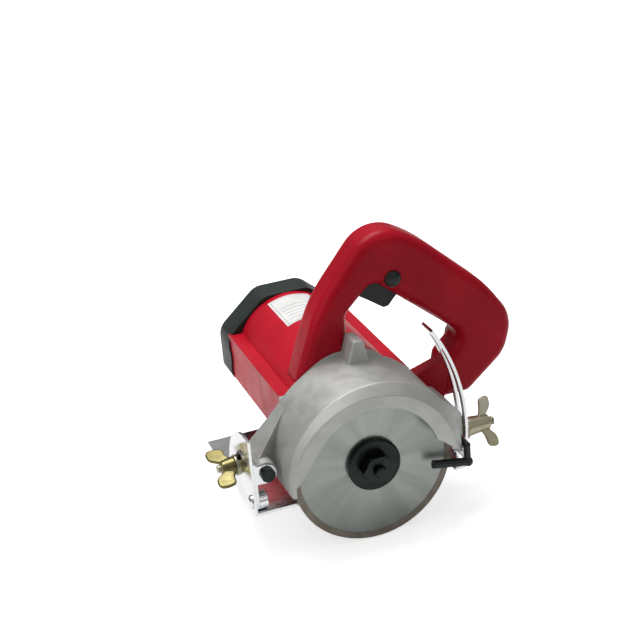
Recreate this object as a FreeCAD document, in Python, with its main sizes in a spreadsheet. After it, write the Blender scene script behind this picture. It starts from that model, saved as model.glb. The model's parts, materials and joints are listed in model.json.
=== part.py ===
import FreeCAD, Part
import math
import os
import re
import Sketcher

# Hand-held slab saw: a diamond blade under a cast guard, driven through a gear pair by a motor,
# with a D handle above and a tilting base plate below.  Millimetres, +Z up.
# Origin: on the spindle axis, in the middle plane of the blade.
# +Y runs from the blade to the motor's tail, -X is the direction of cut.

Vector = FreeCAD.Vector
doc = FreeCAD.newDocument("slab_saw")
sheet = doc.addObject("Spreadsheet::Sheet", "Dimensions")

DIMENSIONS = {
    # blade, flanges and nut
    "blade_radius": 55, "rim_width": 4.5, "rim_half": 1.0, "core_half": 0.8, "blade_bore": 10,
    "flange_radius": 18, "flange_front": 5, "flange_back": 7, "nut_flats": 19, "nut_front": 12.8,
    "stud_radius": 4, "stud_front": 17, "spindle_radius": 6, "shaft_gap": 0.03,
    # gears and bearings
    "motor_rise": 24, "gear_module": 1, "gear_teeth": 33, "pinion_teeth": 15, "gear_from": 22,
    "gear_width": 9, "small_journal": 4, "small_race": 11, "small_width": 7, "big_race": 16,
    "big_width": 10, "big_from": 10, "spindle_tail_from": 33.3, "motor_front_from": 36,
    # gear housing and blade guard
    "guard_radius": 60, "guard_wall": 3, "guard_edge": 8, "guard_nose": 14, "guard_back": 39.5,
    "lip_radius": 44.3, "lip_thick": 2.5, "nose_radius": 56.7, "nose_shift": 2.6, "nose_drop": 3,
    "chamber_back": 8, "guard_foot": 3.5, "case_radius": 20.3, "case_bore": 18.1, "case_floor": 33,
    "flange_plate_back": 43, "retainer_radius": 27, "retainer_thick": 3.5, "retainer_hub": 18,
    "retainer_screw_x": 19.5, "retainer_screw_z": 13.5,
    # motor housing and rear cover
    "barrel_radius": 39.5, "box_half": 45.5, "box_low": 7.5, "box_high": 40, "shell": 3,
    "motor_back": 155, "cover_back": 178, "cover_half": 46.8, "cover_top": 64, "cover_lap": 3,
    "cover_shoulder": 38, "cover_flat": 17, "cover_low": -14.5, "cover_screw_x": 37.3,
    "cover_screw_z": 23.5, "long_screw_x": 39.5, "long_screw_low": 13.2,
    "long_screw_high": 34.3, "label_from": 102, "label_to": 146, "label_thick": 0.3,
    # motor inside
    "stator_radius": 34, "stator_bore": 19, "stator_from": 74, "stator_to": 116, "pole_half": 13.8,
    "window_radius": 29.3, "core_radius": 18.4, "shaft_radius": 5, "tail_radius": 3.5,
    "commutator_radius": 11, "commutator_from": 134, "commutator_to": 148, "fan_radius": 33,
    "fan_from": 54, "fan_to": 63.5, "brush_wide": 6, "brush_long": 10, "brush_out": 27,
    "tail_bearing_from": 160,
    # handle
    "handle_front": 40, "handle_split": 53.5, "handle_back": 67, "web_back": 50, "handle_wall": 3,
    "switch_x": 43.7, "switch_z": 117.4, "grip_slope": 40, "trigger_half": 6.5, "trigger_turn_x": 15,
    "trigger_turn_z": 104, "lock_x": 38.6, "lock_z": 105.8, "lock_radius": 5.6,
    # cord and water feed
    "cord_x": 101.5, "cord_z": 38.5, "cord_radius": 3.2, "cord_reach": 14, "feed_x": 63.8,
    "feed_z": -1.2, "spigot_radius": 2.75,
    # base plate and its guides
    "plate_low": -21, "plate_thick": 1.8, "plate_front": -80, "plate_rear": 70, "plate_near": 6,
    "plate_far": 115, "bevel_y": 12, "bevel_z": -13, "quadrant_radius": 46, "slot_radius": 31,
    "slot_half": 3.25, "bevel_rest": 25, "bevel_sweep": 45, "bolt_radius": 3, "ear_radius": 6.4,
    "depth_x": -69, "depth_z": 7, "arc_radius": 139.6, "arc_thick": 2, "arc_near": 4,
    "arc_far": 19.5, "arc_down": 10.3, "arc_up": 31.8, "lock_y": 11.75, "lock_height": 1,
    "lug_face": 66.6,
}
for row, (alias, value) in enumerate(DIMENSIONS.items(), 1):
    sheet.set(f"A{row}", alias)
    sheet.set(f"B{row}", str(value))
    sheet.setAlias(f"B{row}", alias)
doc.recompute()

AXES = {"X": FreeCAD.Rotation(Vector(0, 1, 0), 90),
        "Y": FreeCAD.Rotation(Vector(1, 0, 0), -90),
        "Z": FreeCAD.Rotation()}
# For each axis: the origin plane that faces along it, and which way that plane's normal runs.
PLANES = {"X": ("YZ_Plane", 1), "Y": ("XZ_Plane", -1), "Z": ("XY_Plane", 1)}
nodes = []


# ---------------------------------------------------------------- general helpers
def size(alias):
    """The plain number that the sheet holds for an alias."""
    return float(sheet.get(alias))


def formula(text):
    """Words that are aliases become references to the sheet's cells."""
    def cell(match):
        word = match.group(0)
        return "Dimensions." + word if word in DIMENSIONS else word
    return re.sub(r"[a-z][a-z_]*", cell, str(text))


def bind(obj, links):
    for path, text in links.items():
        obj.setExpression(path, formula(text))


def place(obj, axis, start, centre):
    """Binds a placement: start along the axis, centre for the other two in X, Y, Z order."""
    texts = list(centre)
    texts.insert("XYZ".index(axis), start)
    for letter, text in zip("xyz", texts):
        obj.setExpression("Placement.Base." + letter, formula(text))


def node(obj, label):
    """Names a finished sub-part; its file takes the same name."""
    obj.Label = label
    nodes.append(obj)
    return obj


def cylinder(name, axis, radius, low, high, centre=(0, 0)):
    obj = doc.addObject("Part::Cylinder", name)
    obj.Placement.Rotation = AXES[axis]
    bind(obj, {"Radius": radius, "Height": f"({high}) - ({low})"})
    place(obj, axis, low, centre)
    return obj


def box(name, x, y, z):
    """A box from low and high values on each axis."""
    obj = doc.addObject("Part::Box", name)
    bind(obj, {"Length": f"({x[1]}) - ({x[0]})", "Width": f"({y[1]}) - ({y[0]})",
               "Height": f"({z[1]}) - ({z[0]})"})
    place(obj, "X", x[0], (y[0], z[0]))
    return obj


def fuse(name, *parts):
    obj = doc.addObject("Part::MultiFuse", name)
    obj.Shapes = list(parts)
    return obj


def cut(name, base, *tools):
    obj = doc.addObject("Part::Cut", name)
    obj.Base = base
    obj.Tool = tools[0] if len(tools) == 1 else fuse(name + "_tools", *tools)
    return obj


def common(name, base, tool):
    obj = doc.addObject("Part::Common", name)
    obj.Base = base
    obj.Tool = tool
    return obj


def group(name, *parts):
    """Separate solids kept together as one node."""
    obj = doc.addObject("Part::Compound", name)
    obj.Links = list(parts)
    return obj


def ring(name, axis, outer, inner, low, high, centre=(0, 0)):
    return cut(name, cylinder(name + "_outer", axis, outer, low, high, centre),
               cylinder(name + "_bore", axis, inner, low, high, centre))


def new_body(name):
    return doc.addObject("PartDesign::Body", name)


def add_loop(sketch, corners, first):
    """Draws a closed chain of lines; each corner is held by two distances bound to the sheet."""
    count = len(corners)
    for index in range(count):
        here, after = (2 * math.pi * turn / count for turn in (index, index + 1))
        sketch.addGeometry(Part.LineSegment(Vector(math.cos(here), math.sin(here), 0),
                                            Vector(math.cos(after), math.sin(after), 0)), False)
    for index in range(count):
        sketch.addConstraint(Sketcher.Constraint("Coincident", first + index, 2,
                                                 first + (index + 1) % count, 1))
    for index, corner in enumerate(corners):
        for kind, text in zip(("DistanceX", "DistanceY"), corner):
            held = sketch.addConstraint(Sketcher.Constraint(kind, -1, 1, first + index, 1, 1.0))
            sketch.setExpression(f"Constraints[{held}]", formula(text))
    return count


def add_circle(sketch, radius, centre, number):
    sketch.addGeometry(Part.Circle(Vector(1, 1, 0), Vector(0, 0, 1), 1), False)
    held = sketch.addConstraint(Sketcher.Constraint("Radius", number, 1.0))
    sketch.setExpression(f"Constraints[{held}]", formula(radius))
    for kind, text in zip(("DistanceX", "DistanceY"), centre):
        held = sketch.addConstraint(Sketcher.Constraint(kind, -1, 1, number, 3, 1.0))
        sketch.setExpression(f"Constraints[{held}]", formula(text))


def draw(body, name, axis, at, loops):
    """A sketch across an axis; a loop is a list of corners or a (radius, centre) pair."""
    role = PLANES[axis][0]
    sketch = body.newObject("Sketcher::SketchObject", name)
    plane = [item for item in body.Origin.OriginFeatures if item.Role == role][0]
    sketch.AttachmentSupport = [(plane, "")]
    sketch.MapMode = "FlatFace"
    sign = "" if PLANES[axis][1] > 0 else "-"
    bind(sketch, {"AttachmentOffset.Base.z": f"{sign}({at})"})
    drawn = 0
    for loop in loops:
        if isinstance(loop, tuple):
            add_circle(sketch, loop[0], loop[1], drawn)
            drawn += 1
        else:
            drawn += add_loop(sketch, loop, drawn)
    return sketch


def extrude(body, name, axis, low, high, *loops):
    """Adds material between two planes."""
    start = low if PLANES[axis][1] > 0 else high
    sketch = draw(body, name + "_sketch", axis, start, loops)
    pad = body.newObject("PartDesign::Pad", name)
    pad.Profile = sketch
    bind(pad, {"Length": f"({high}) - ({low})"})
    body.Tip = pad
    return pad


def hollow(body, name, axis, low, high, *loops):
    """Removes material between two planes."""
    start = high if PLANES[axis][1] > 0 else low
    sketch = draw(body, name + "_sketch", axis, start, loops)
    pocket = body.newObject("PartDesign::Pocket", name)
    pocket.Profile = sketch
    bind(pocket, {"Length": f"({high}) - ({low})"})
    body.Tip = pocket
    return pocket


def turned(name, axis, centre, *profile):
    """A body turned about a line along X or Y; the profile is (position, radius) corners."""
    body = new_body(name)
    sketch_axis = {"X": "Y", "Y": "X"}[axis]
    sketch = draw(body, name + "_profile", sketch_axis, 0, [list(profile)])
    turn = body.newObject("PartDesign::Revolution", name + "_turn")
    turn.Profile = sketch
    turn.ReferenceAxis = (sketch, ["H_Axis"])
    turn.Angle = 360
    body.Tip = turn
    place(body, axis, 0, centre)
    return body


def repeat(body, feature, name, axis_role, count):
    """A full polar pattern about one of the body's own axes."""
    pattern = body.newObject("PartDesign::PolarPattern", name)
    pattern.Originals = [feature]
    line = [item for item in body.Origin.OriginFeatures if item.Role == axis_role][0]
    pattern.Axis = (line, [""])
    pattern.Angle = 360
    pattern.Occurrences = count
    body.Tip = pattern
    return pattern


def corner_edges(feature, sketch, axis, picks):
    """Edges that run along the axis through the sketch's numbered corners."""
    doc.recompute()
    spots = [sketch.getPoint(index, 1) for index in picks]
    others = [letter for letter in "xyz" if letter != axis.lower()]
    names = []
    for number, edge in enumerate(feature.Shape.Edges, 1):
        ends = [vertex.Point for vertex in edge.Vertexes]
        if len(ends) != 2 or abs(getattr(ends[0] - ends[1], axis.lower())) < 1:
            continue
        for spot in spots:
            gaps = [abs(getattr(end, others[0]) - spot.x) + abs(getattr(end, others[1]) - spot.y)
                    for end in ends]
            if max(gaps) < 0.01:
                names.append(f"Edge{number}")
    return names


def face_edges(feature, axis, at, wanted=lambda edge: True):
    """Edges that lie wholly in one plane across the axis."""
    doc.recompute()
    names = []
    for number, edge in enumerate(feature.Shape.Edges, 1):
        low = getattr(edge.BoundBox, axis + "Min")
        high = getattr(edge.BoundBox, axis + "Max")
        if abs(low - at) < 0.01 and abs(high - at) < 0.01 and wanted(edge):
            names.append(f"Edge{number}")
    return names


def round_off(body, name, feature, edges, radius):
    fillet = body.newObject("PartDesign::Fillet", name)
    fillet.Base = (feature, edges)
    bind(fillet, {"Radius": radius})
    body.Tip = fillet
    return fillet


def screw(name, axis, seat, way, head_high, head_radius, radius, length, centre):
    """A pan-head screw; its shank runs from the seat along the axis, way being 1 or -1."""
    top = f"({seat}) - ({way * head_high})"
    shoulder = f"({seat}) - ({way * head_high * 0.6})"
    end = f"({seat}) + ({way * length})"
    return turned(name, axis, centre, (top, 0), (top, head_radius * 0.8),
                  (shoulder, head_radius), (seat, head_radius), (seat, radius), (end, radius),
                  (end, 0))


def coil_spring(name, axis, low, high, radius, wire, turns, centre):
    """A helical compression spring swept from its own wire section."""
    helix = doc.addObject("Part::Helix", name + "_path")
    helix.Placement.Rotation = AXES[axis]
    bind(helix, {"Radius": radius, "Height": f"({high}) - ({low})",
                 "Pitch": f"(({high}) - ({low})) / {turns}"})
    place(helix, axis, low, centre)
    section = doc.addObject("Part::Circle", name + "_wire")
    bind(section, {"Radius": wire})
    section.Placement = FreeCAD.Placement(Vector(), AXES[axis].multiply(
        FreeCAD.Rotation(Vector(1, 0, 0), 90)))
    offset = {"X": (0, 0, f"-({radius})"), "Y": (radius, 0, 0), "Z": (radius, 0, 0)}[axis]
    texts = list(centre)
    texts.insert("XYZ".index(axis), low)
    for letter, text, shift in zip("xyz", texts, offset):
        section.setExpression("Placement.Base." + letter, formula(f"({text}) + ({shift})"))
    sweep = doc.addObject("Part::Sweep", name)
    sweep.Sections = [section]
    sweep.Spine = (helix, [])
    sweep.Solid = True
    sweep.Frenet = True
    return sweep


# ---------------------------------------------------------------- blade and its clamping
def make_blade():
    core = new_body("blade_core")
    extrude(core, "core_disc", "Y", "-core_half", "core_half",
            ("blade_radius - rim_width", (0, 0)), ("blade_bore", (0, 0)))
    node(core, "blade_core")
    rim = new_body("diamond_rim")
    extrude(rim, "rim_ring", "Y", "-rim_half", "rim_half",
            ("blade_radius", (0, 0)), ("blade_radius - rim_width", (0, 0)))
    node(rim, "diamond_rim")


def make_flanges():
    bore = "spindle_radius + shaft_gap"
    node(turned("inner_flange", "Y", (0, 0), ("0.1 - core_half", bore),
                ("0.1 - core_half", "blade_bore - 0.05"), ("core_half", "blade_bore - 0.05"),
                ("core_half", "flange_radius"), ("core_half + 2.4", "flange_radius"),
                ("core_half + 3.4", "flange_radius - 1"), ("core_half + 3.4", "flange_radius - 8"),
                ("flange_back", "flange_radius - 8"), ("flange_back", bore)), "inner_flange")
    node(turned("outer_flange", "Y", (0, 0), ("-core_half", bore), ("-core_half", "flange_radius"),
                ("1 - flange_front", "flange_radius"), ("-flange_front", "flange_radius - 1"),
                ("-flange_front", bore)), "outer_flange")


def make_nut():
    """The hexagon that clamps the flanges, with its corners turned back on both faces."""
    hexagon = new_body("nut_hexagon")
    reach = "nut_flats / 2"
    corner = "nut_flats / sqrt(3)"
    extrude(hexagon, "hexagon", "Y", "-nut_front", "-flange_front",
            [(corner, 0), (f"{corner} / 2", reach), (f"-{corner} / 2", reach), (f"-{corner}", 0),
             (f"-{corner} / 2", f"-{reach}"), (f"{corner} / 2", f"-{reach}")],
            ("stud_radius + 0.05", (0, 0)))
    envelope = turned("nut_envelope", "Y", (0, 0), ("-nut_front", 0), ("-nut_front", reach),
                      ("1 - nut_front", f"{corner} + 0.1"), ("-flange_front - 0.6", f"{corner} + 0.1"),
                      ("-flange_front", "nut_flats / 2 + 0.6"), ("-flange_front", 0))
    node(common("blade_nut", hexagon, envelope), "blade_nut")


def make_spindle():
    """The stepped output shaft: stud, blade seat, shoulder, gear seat and tail journal."""
    node(turned("spindle", "Y", (0, 0), ("-stud_front", 0), ("-stud_front", "stud_radius - 0.8"),
                ("0.8 - stud_front", "stud_radius"), ("0.5 - flange_front", "stud_radius"),
                ("0.5 - flange_front", "spindle_radius"), ("flange_back", "spindle_radius"),
                ("flange_back", "spindle_radius + 1.5"), ("big_from - 0.1", "spindle_radius + 1.5"),
                ("big_from - 0.1", "spindle_radius"), ("gear_from + gear_width", "spindle_radius"),
                ("gear_from + gear_width", "small_journal"),
                ("spindle_tail_from + small_width + 0.4", "small_journal"),
                ("spindle_tail_from + small_width + 0.4", 0)), "spindle")


# ---------------------------------------------------------------- gears
def tooth_angles(radius, base_radius, half_at_pitch):
    """Half the angle that a tooth covers at a radius, from the involute of its base circle."""
    pressure = math.radians(20)
    here = math.acos(min(1.0, base_radius / radius))
    return half_at_pitch + (math.tan(pressure) - pressure) - (math.tan(here) - here)


def gear_shape(teeth, bore, tooth_at):
    """A straight-cut involute gear about +Z with one tooth centred on the angle tooth_at."""
    module = size("gear_module")
    pitch_radius = module * teeth / 2
    base_radius = pitch_radius * math.cos(math.radians(20))
    tip_radius = pitch_radius + 0.85 * module
    root_radius = pitch_radius - 1.15 * module
    thinning = 0.04
    half_at_pitch = math.pi / (2 * teeth) - thinning / pitch_radius
    steps = 5
    start = max(base_radius, root_radius)
    flank = [start + (tip_radius - start) * step / (steps - 1) for step in range(steps)]
    corners = []
    for tooth in range(teeth):
        middle = math.radians(tooth_at) + 2 * math.pi * tooth / teeth
        halves = [(radius, tooth_angles(radius, base_radius, half_at_pitch)) for radius in flank]
        halves.insert(0, (root_radius, halves[0][1]))
        outline = [(radius, middle - half) for radius, half in halves]
        outline += [(radius, middle + half) for radius, half in reversed(halves)]
        corners += [Vector(radius * math.cos(angle), radius * math.sin(angle), 0)
                    for radius, angle in outline]
    face = Part.Face(Part.makePolygon(corners + [corners[0]]))
    width = size("gear_width")
    blank = face.extrude(Vector(0, 0, width))
    return blank.cut(Part.makeCylinder(bore, width))


def make_gears():
    wheel = doc.addObject("Part::Feature", "spindle_gear")
    wheel.Shape = gear_shape(int(size("gear_teeth")), size("spindle_radius"), -90)
    wheel.Placement = FreeCAD.Placement(Vector(0, size("gear_from"), 0), AXES["Y"])
    node(wheel, "spindle_gear")
    teeth = int(size("pinion_teeth"))
    pinion = doc.addObject("Part::Feature", "motor_pinion")
    pinion.Shape = gear_shape(teeth, size("small_journal"), 90 + 180 / teeth)
    pinion.Placement = FreeCAD.Placement(Vector(0, size("gear_from"), size("motor_rise")), AXES["Y"])
    node(pinion, "motor_pinion")


def bearing(name, low, width, race, journal, centre):
    """A sealed ball bearing: both rings stand proud of the shields between them."""
    gap = f"({race}) - ({journal})"
    inner = f"({journal}) + 0.28 * ({gap})"
    outer = f"({race}) - 0.25 * ({gap})"
    bore = f"({journal}) + shaft_gap"
    high = f"({low}) + ({width})"
    node(turned(name, "Y", centre, (low, bore), (low, inner), (f"({low}) + 0.5", inner),
                (f"({low}) + 0.5", outer), (low, outer), (low, race), (high, race), (high, outer),
                (f"({high}) - 0.5", outer), (f"({high}) - 0.5", inner), (high, inner),
                (high, bore)), name)


def make_bearings():
    bearing("spindle_front_bearing", "big_from", "big_width", "big_race", "spindle_radius", (0, 0))
    bearing("spindle_rear_bearing", "spindle_tail_from", "small_width", "small_race",
            "small_journal", (0, 0))
    bearing("armature_front_bearing", "motor_front_from", "small_width", "small_race",
            "small_journal", (0, "motor_rise"))
    bearing("armature_rear_bearing", "tail_bearing_from", "small_width - 1", "small_race",
            "tail_radius", (0, "motor_rise"))


# ---------------------------------------------------------------- gear housing with its guard
def guard_shell():
    """The drum over the blade: an eccentric bevelled nose, an inner lip, an open foot."""
    drum = cylinder("drum", "Y", "guard_radius", "-guard_edge", "guard_back")
    sections = []
    for name, radius, at, x, z in (("nose_back", "guard_radius", "-guard_edge", 0, 0),
                                   ("nose_front", "nose_radius", "-guard_nose", "-nose_shift",
                                    "-nose_drop")):
        section = doc.addObject("Part::Circle", name)
        section.Placement.Rotation = AXES["Y"]
        bind(section, {"Radius": radius})
        place(section, "Y", at, (x, z))
        sections.append(section)
    nose = doc.addObject("Part::Loft", "nose")
    nose.Sections = sections
    nose.Solid = True
    nose.Ruled = True
    wall = "guard_radius - guard_wall"
    chamber = cylinder("blade_chamber", "Y", wall, -5, "chamber_back")
    mouth = doc.addObject("Part::Cone", "chamber_mouth")
    mouth.Placement.Rotation = AXES["Y"]
    bind(mouth, {"Radius1": f"{wall} - 6.5", "Radius2": wall,
                 "Height": "guard_nose - lip_thick - 5"})
    place(mouth, "Y", "lip_thick - guard_nose", (0, 0))
    lip = cylinder("lip_opening", "Y", "lip_radius", "-guard_nose - 1", "-guard_edge",
                   ("0.6 - nose_shift", 0.4))
    behind = cylinder("drum_hollow", "Y", wall, "chamber_back + 6.5", "guard_back - guard_wall")
    left_end = new_body("lip_left_end")
    extrude(left_end, "left_end", "Y", "-guard_nose - 1", "-guard_edge + 1",
            [(-38, 26), (-46, 16), (-53, 6), (-56.9, 3.5), (-56.9, -66), (0, -66), (0, 20)])
    right_end = new_body("lip_right_end")
    extrude(right_end, "right_end", "Y", "-guard_nose - 1", "-guard_edge + 1",
            [(36, 15), (45, 9.5), (55.5, 0), (56.9, -4), (56.9, -66), (-4, -66), (-4, 15)])
    foot = box("drum_foot", ("-guard_radius - 5", "guard_radius + 5"),
               ("-guard_nose - 1", "guard_back + 1"), ("-guard_radius - 10", "-guard_foot"))
    return cut("guard_shell", fuse("guard_blank", drum, nose), chamber, mouth, lip, behind,
               left_end, right_end, foot)


def pivot_web():
    """The boss that carries the depth pivot, and the web that ties it to the drum."""
    web = new_body("pivot_web")
    extrude(web, "web", "Y", 9, "guard_back",
            [(-47.3, 37), (-74.4, 11.2), (-70, 0.3), (-60, "-guard_foot"), (-56, "-guard_foot"),
             (-50, 20)])
    slope = new_body("web_slope")
    extrude(slope, "slope", "Z", -20, 50, [(-80, 0), (-80, 10), (-50, 28), (-40, 30), (-40, 0)])
    boss = cylinder("pivot_boss", "Y", 7, "plate_near + 3.7", 30, ("depth_x", "depth_z"))
    return cut("sloped_web", web, slope), boss


def lock_lug():
    """The block at the rear of the drum that the depth lock screws into."""
    lug = new_body("lock_lug")
    extrude(lug, "lug", "Y", 5, 30,
            [(50, -4.5), ("lug_face - 1", -4.5), ("lug_face", -3.5), ("lug_face", 16), (57.5, 26.5),
             (50, 30)])
    clear = cylinder("lug_clearance", "Y", "guard_radius - guard_wall", 0, "chamber_back")
    return cut("lock_lug_cut", lug, clear)


def motor_section(prefix, low, high, grow=0):
    """The motor housing's outline as solids: a barrel with a flat-sided box across it."""
    barrel = cylinder(prefix + "_barrel", "Y", f"barrel_radius + {grow}", low, high,
                      (0, "motor_rise"))
    sides = box(prefix + "_sides", (f"-box_half - {grow}", f"box_half + {grow}"), (low, high),
                (f"box_low - {grow}", f"box_high + {grow}"))
    return barrel, sides


def retainer_spots():
    return [(f"{side}retainer_screw_x", f"{rise}retainer_screw_z") for side in ("-", "")
            for rise in ("-", "")]


def cover_screw_spots():
    return [("-cover_screw_x", "cover_screw_z"), ("cover_screw_x", "cover_screw_z")]


def long_screw_spots():
    return [(f"{side}long_screw_x", rise) for side in ("-", "")
            for rise in ("long_screw_low", "long_screw_high")]


def make_gear_housing():
    floor = box("chamber_floor", ("-retainer_radius", "retainer_radius"),
                ("chamber_back", "chamber_back + 6.5"), ("-case_radius", 0))
    case = [cylinder("case_lower", "Y", "case_radius", "chamber_back", "guard_back - guard_wall"),
            cylinder("case_tail", "Y", 14.5, "chamber_back", "flange_plate_back"),
            cylinder("case_upper", "Y", 14.5, "chamber_back", "flange_plate_back",
                     (0, "motor_rise")),
            box("case_middle", (-14.5, 14.5), ("chamber_back", "flange_plate_back"),
                (0, "motor_rise"))]
    bosses = [cylinder(f"retainer_boss_{number}", "Y", 4, "chamber_back", 24, spot)
              for number, spot in enumerate(retainer_spots())]
    top_lug = new_body("top_lug")
    extrude(top_lug, "lug_block", "Y", 24, "guard_back",
            [(-3.6, 57), (2.2, 74.6), (3.6, 75.6), (8.2, 75), (9.6, 73.6), (13.2, 55.5)])
    rim = face_edges(top_lug.Tip, "Y", 24, lambda edge: edge.BoundBox.ZMax > 58)
    round_off(top_lug, "lug_softened", top_lug.Tip, rim, 1.2)
    web, boss = pivot_web()
    solid = fuse("housing_blank", guard_shell(), floor, *case, *bosses, top_lug, web, boss,
                 lock_lug(), *motor_section("flange_plate", "guard_back", "flange_plate_back"))
    tail_end = "spindle_tail_from + small_width"
    seats = [cylinder("retainer_recess", "Y", "retainer_radius + 0.1", "chamber_back - 1",
                      "chamber_back + retainer_thick"),
             cylinder("gear_chamber", "Y", "case_bore", "chamber_back", "case_floor"),
             cylinder("pinion_chamber", "Y", 9.6, "big_from + big_width + 0.8", "case_floor",
                      (0, "motor_rise")),
             cylinder("tail_seat", "Y", "small_race", "case_floor - 1", tail_end),
             cylinder("tail_relief", "Y", "spindle_radius", tail_end, f"{tail_end} + 1.2"),
             cylinder("shaft_way", "Y", 6.5, "case_floor - 1", "motor_front_from + 1",
                      (0, "motor_rise")),
             cylinder("motor_seat", "Y", "small_race", "motor_front_from",
                      "flange_plate_back + 1", (0, "motor_rise")),
             cylinder("pivot_thread", "Y", 3.02, "plate_near", 27.5, ("depth_x", "depth_z")),
             cylinder("lock_thread", "X", 3.02, 58.4, "lug_face + 1", ("lock_y", "lock_height")),
             cylinder("nozzle_socket", "Y", 2.02, 4, 8.4, ("feed_x", "feed_z")),
             cylinder("inlet_socket", "Y", 2.02, 15.3, 31, ("feed_x", "feed_z"))]
    seats += [cylinder(f"retainer_thread_{number}", "Y", 1.75, "chamber_back", 22, spot)
              for number, spot in enumerate(retainer_spots())]
    seats += [cylinder(f"flange_thread_{number}", "Y", 2.05, "guard_back - 1",
                       "flange_plate_back + 1", spot)
              for number, spot in enumerate(long_screw_spots())]
    node(cut("gear_housing", solid, *seats), "gear_housing")


def make_bearing_retainer():
    """The cover over the gear chamber, holding the spindle's front bearing."""
    back = "chamber_back + retainer_thick"
    plate = cylinder("retainer_plate", "Y", "retainer_radius", "chamber_back", back)
    hub = cylinder("retainer_hub_tube", "Y", "retainer_hub", "chamber_back",
                   "big_from + big_width + 0.5")
    flat = box("retainer_flat", (-30, 30), ("chamber_back - 1", "big_from + big_width"),
               (-40, "-case_radius"))
    holes = [cylinder("retainer_seat", "Y", "big_race", "big_from", "big_from + big_width + 1"),
             cylinder("retainer_eye", "Y", "spindle_radius + 3", "chamber_back - 1", "big_from + 1")]
    holes += [cylinder(f"retainer_hole_{number}", "Y", 1.8, "chamber_back - 1", back, spot)
              for number, spot in enumerate(retainer_spots())]
    node(cut("bearing_retainer", fuse("retainer_blank", plate, hub), flat, *holes),
         "bearing_retainer")
    screws = [screw(f"retainer_screw_{number}", "Y", "chamber_back", 1, 2.2, 3.2, 1.7, 12, spot)
              for number, spot in enumerate(retainer_spots())]
    node(group("retainer_screws", *screws), "retainer_screws")


# ---------------------------------------------------------------- motor
def make_armature():
    axis = (0, "motor_rise")
    seat = "motor_front_from + small_width"
    node(turned("armature_shaft", "Y", axis, ("gear_from - 0.5", 0),
                ("gear_from - 0.5", "small_journal"), (seat, "small_journal"),
                (seat, "shaft_radius"), ("tail_bearing_from - 3", "shaft_radius"),
                ("tail_bearing_from - 3", "tail_radius"), ("tail_bearing_from + 7", "tail_radius"),
                ("tail_bearing_from + 7", 0)), "armature_shaft")
    core = new_body("armature_core")
    extrude(core, "laminations", "Y", "stator_from", "stator_to", ("core_radius", (0, 0)),
            ("shaft_radius", (0, 0)))
    slot = hollow(core, "winding_slot", "Y", "stator_from - 1", "stator_to + 1",
                  [(-1.3, "core_radius - 7"), (1.3, "core_radius - 7"), (1.3, "core_radius + 1"),
                   (-1.3, "core_radius + 1")])
    repeat(core, slot, "winding_slots", "Y_Axis", 12)
    place(core, "Y", 0, axis)
    node(core, "armature_core")
    ends = [turned(f"winding_{name}", "Y", axis, (low, "shaft_radius + 0.1"), (low, "core_radius - 5"),
                   (f"{low} + 1.5", "core_radius - 2.5"), (f"{high} - 1.5", "core_radius - 2.5"),
                   (high, "core_radius - 5"), (high, "shaft_radius + 0.1"))
            for name, low, high in (("front", "stator_from - 6", "stator_from"),
                                    ("rear", "stator_to", "stator_to + 10"))]
    node(group("armature_windings", *ends), "armature_windings")
    commutator = new_body("commutator")
    extrude(commutator, "bars", "Y", "commutator_from", "commutator_to",
            ("commutator_radius", (0, 0)), ("shaft_radius", (0, 0)))
    gap = hollow(commutator, "bar_gap", "Y", "commutator_from + 1.5", "commutator_to + 1",
                 [(-0.3, "commutator_radius - 1"), (0.3, "commutator_radius - 1"),
                  (0.3, "commutator_radius + 1"), (-0.3, "commutator_radius + 1")])
    repeat(commutator, gap, "bar_gaps", "Y_Axis", 24)
    place(commutator, "Y", 0, axis)
    node(commutator, "commutator")


def make_fan():
    fan = new_body("cooling_fan")
    extrude(fan, "fan_hub", "Y", "fan_from", "fan_to", (10, (0, 0)), ("shaft_radius", (0, 0)))
    extrude(fan, "fan_disc", "Y", "fan_to - 1.5", "fan_to", ("fan_radius", (0, 0)), (9, (0, 0)))
    vane = extrude(fan, "fan_vane", "Y", "fan_from", "fan_to - 1",
                   [(9, -0.8), ("fan_radius - 1", 3.2), ("fan_radius - 1", 4.8), (9, 0.8)])
    repeat(fan, vane, "fan_vanes", "Y_Axis", 11)
    place(fan, "Y", 0, (0, "motor_rise"))
    node(fan, "cooling_fan")
    node(ring("fan_baffle", "Y", "barrel_radius - shell", 22, "fan_to + 1.1", "fan_to + 2.3",
              (0, "motor_rise")), "fan_baffle")


def make_stator():
    """A ring of laminations with two poles, and a looped coil around each pole."""
    axis = (0, "motor_rise")
    window = cut("stator_window",
                 cylinder("window_round", "Y", "window_radius", "stator_from - 1", "stator_to + 1",
                          axis),
                 box("pole_blank", ("-pole_half", "pole_half"), ("stator_from - 2", "stator_to + 2"),
                     (-10, 60)))
    node(cut("stator_core",
             cylinder("stator_round", "Y", "stator_radius", "stator_from", "stator_to", axis),
             cylinder("stator_eye", "Y", "stator_bore", "stator_from - 1", "stator_to + 1", axis),
             window), "stator_core")
    coils = []
    for name, low, high in (("upper", "motor_rise + 2", "motor_rise + 35"),
                            ("lower", "motor_rise - 35", "motor_rise - 2")):
        sleeve = ring(f"{name}_sleeve", "Y", "window_radius - 0.3", "stator_bore + 1",
                      "stator_from - 6.5", "stator_to + 9", axis)
        half = common(f"{name}_half", sleeve,
                      box(f"{name}_region", (-27, 27), ("stator_from - 10", "stator_to + 12"),
                          (low, high)))
        pole = box(f"{name}_pole", ("-pole_half - 0.2", "pole_half + 0.2"),
                   ("stator_from - 0.2", "stator_to + 0.2"), (low, high))
        coils.append(cut(f"{name}_coil", half, pole))
    node(group("field_coils", *coils), "field_coils")


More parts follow.
